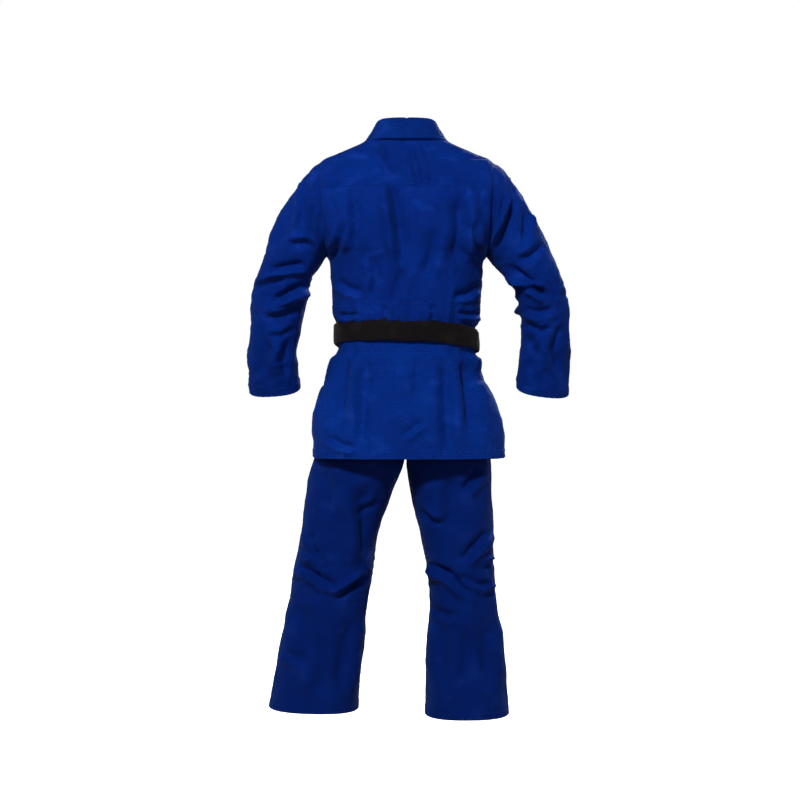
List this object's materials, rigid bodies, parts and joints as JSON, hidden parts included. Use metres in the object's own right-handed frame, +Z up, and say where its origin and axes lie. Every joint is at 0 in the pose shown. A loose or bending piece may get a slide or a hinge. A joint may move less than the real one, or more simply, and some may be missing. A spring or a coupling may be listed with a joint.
{
  "type": "martial arts uniform",
  "caption": "Blue cotton martial arts uniform in its worn shape: wrap jacket with stitched collar, tied black belt, and drawstring trousers with reinforced knees.",
  "frame": {"origin": "the middle of the waist, at the height of the belt", "axes": "+Z up, -Y to the wearer's front, +X to the wearer's left"},
  "size_m": [0.809, 0.3676, 1.4764],
  "materials": {
    "jacket_weave": "matte rice-grain weave",
    "skirt_cotton": "matte diamond weave",
    "collar_cotton": "matte stitched cotton",
    "trouser_drill": "matte drill",
    "belt_cotton": "matte, row stitched",
    "drawstring_cord": "matte flat cord"
  },
  "bodies": {
    "jacket": {"upper_back": "jacket_weave", "left_front": "jacket_weave", "right_front": "jacket_weave", "left_shoulder_patch": "jacket_weave", "right_shoulder_patch": "jacket_weave", "collar_back": "collar_cotton", "left_lapel": "collar_cotton", "right_lapel": "collar_cotton", "waist_band": "skirt_cotton", "left_armpit_gusset": "jacket_weave", "right_armpit_gusset": "jacket_weave", "belt_inner_wrap": "belt_cotton", "belt_outer_wrap": "belt_cotton", "belt_knot": "belt_cotton", "trouser_seat": "trouser_drill", "trouser_waistband": "trouser_drill", "drawstring": "drawstring_cord", "drawstring_loops": "trouser_drill", "crotch_gusset": "trouser_drill"},
    "left_sleeve": {"left_upper_sleeve": "jacket_weave"},
    "left_forearm": {"left_lower_sleeve": "jacket_weave", "left_cuff": "jacket_weave"},
    "right_sleeve": {"right_upper_sleeve": "jacket_weave"},
    "right_forearm": {"right_lower_sleeve": "jacket_weave", "right_cuff": "jacket_weave"},
    "back_flap": {"back_skirt": "skirt_cotton", "back_skirt_hem": "skirt_cotton", "left_vent_patch": "skirt_cotton", "right_vent_patch": "skirt_cotton"},
    "front_flap": {"left_front_skirt": "skirt_cotton", "right_front_skirt": "skirt_cotton", "left_skirt_hem": "skirt_cotton", "right_skirt_hem": "skirt_cotton", "left_skirt_lapel": "collar_cotton", "right_skirt_lapel": "collar_cotton"},
    "left_belt_tail": {"left_belt_end": "belt_cotton"},
    "right_belt_tail": {"right_belt_end": "belt_cotton"},
    "left_upper_leg": {"left_thigh": "trouser_drill", "left_knee_patch": "trouser_drill"},
    "left_lower_leg": {"left_shin": "trouser_drill", "left_trouser_hem": "trouser_drill"},
    "right_upper_leg": {"right_thigh": "trouser_drill", "right_knee_patch": "trouser_drill"},
    "right_lower_leg": {"right_shin": "trouser_drill", "right_trouser_hem": "trouser_drill"}
  },
  "joints": [
    {"name": "left_shoulder", "type": "hinge", "parent": "jacket", "child": "left_sleeve", "pos_m": [0.2125, 0, 0.4185], "axis": [0, -1, 0], "range_deg": [0, 70], "deforming": ["left_armpit_gusset"]},
    {"name": "left_elbow", "type": "hinge", "parent": "left_sleeve", "child": "left_forearm", "pos_m": [0.3175, -0.005, 0.08], "axis": [-0.9928, 0, -0.1194], "range_deg": [0, 65]},
    {"name": "right_shoulder", "type": "hinge", "parent": "jacket", "child": "right_sleeve", "pos_m": [-0.2125, 0, 0.4185], "axis": [0, 1, 0], "range_deg": [0, 70], "deforming": ["right_armpit_gusset"]},
    {"name": "right_elbow", "type": "hinge", "parent": "right_sleeve", "child": "right_forearm", "pos_m": [-0.3375, -0.005, 0.08], "axis": [-0.9916, 0, 0.129], "range_deg": [0, 60]},
    {"name": "back_flap_lift", "type": "hinge", "parent": "jacket", "child": "back_flap", "pos_m": [0, 0.1275, -0.065], "axis": [1, 0, 0], "range_deg": [0, 40]},
    {"name": "front_flap_lift", "type": "hinge", "parent": "jacket", "child": "front_flap", "pos_m": [0, -0.131, -0.065], "axis": [-1, 0, 0], "range_deg": [0, 60]},
    {"name": "left_belt_swing", "type": "hinge", "parent": "front_flap", "child": "left_belt_tail", "pos_m": [0.03, -0.138, -0.0735], "axis": [-1, 0, 0], "range_deg": [0, 60]},
    {"name": "right_belt_swing", "type": "hinge", "parent": "front_flap", "child": "right_belt_tail", "pos_m": [-0.03, -0.138, -0.0735], "axis": [-1, 0, 0], "range_deg": [0, 60]},
    {"name": "left_hip", "type": "hinge", "parent": "jacket", "child": "left_upper_leg", "pos_m": [0.1, 0, -0.13], "axis": [-1, 0, 0], "range_deg": [-8, 9], "deforming": ["crotch_gusset"]},
    {"name": "left_knee", "type": "hinge", "parent": "left_upper_leg", "child": "left_lower_leg", "pos_m": [0.18, 0, -0.6], "axis": [1, 0, 0], "range_deg": [0, 45], "deforming": ["left_knee_patch"]},
    {"name": "right_hip", "type": "hinge", "parent": "jacket", "child": "right_upper_leg", "pos_m": [-0.1, 0, -0.13], "axis": [-1, 0, 0], "range_deg": [-8, 9]},
    {"name": "right_knee", "type": "hinge", "parent": "right_upper_leg", "child": "right_lower_leg", "pos_m": [-0.1365, 0, -0.6], "axis": [1, 0, 0], "range_deg": [0, 60], "deforming": ["right_knee_patch"]}
  ]
}
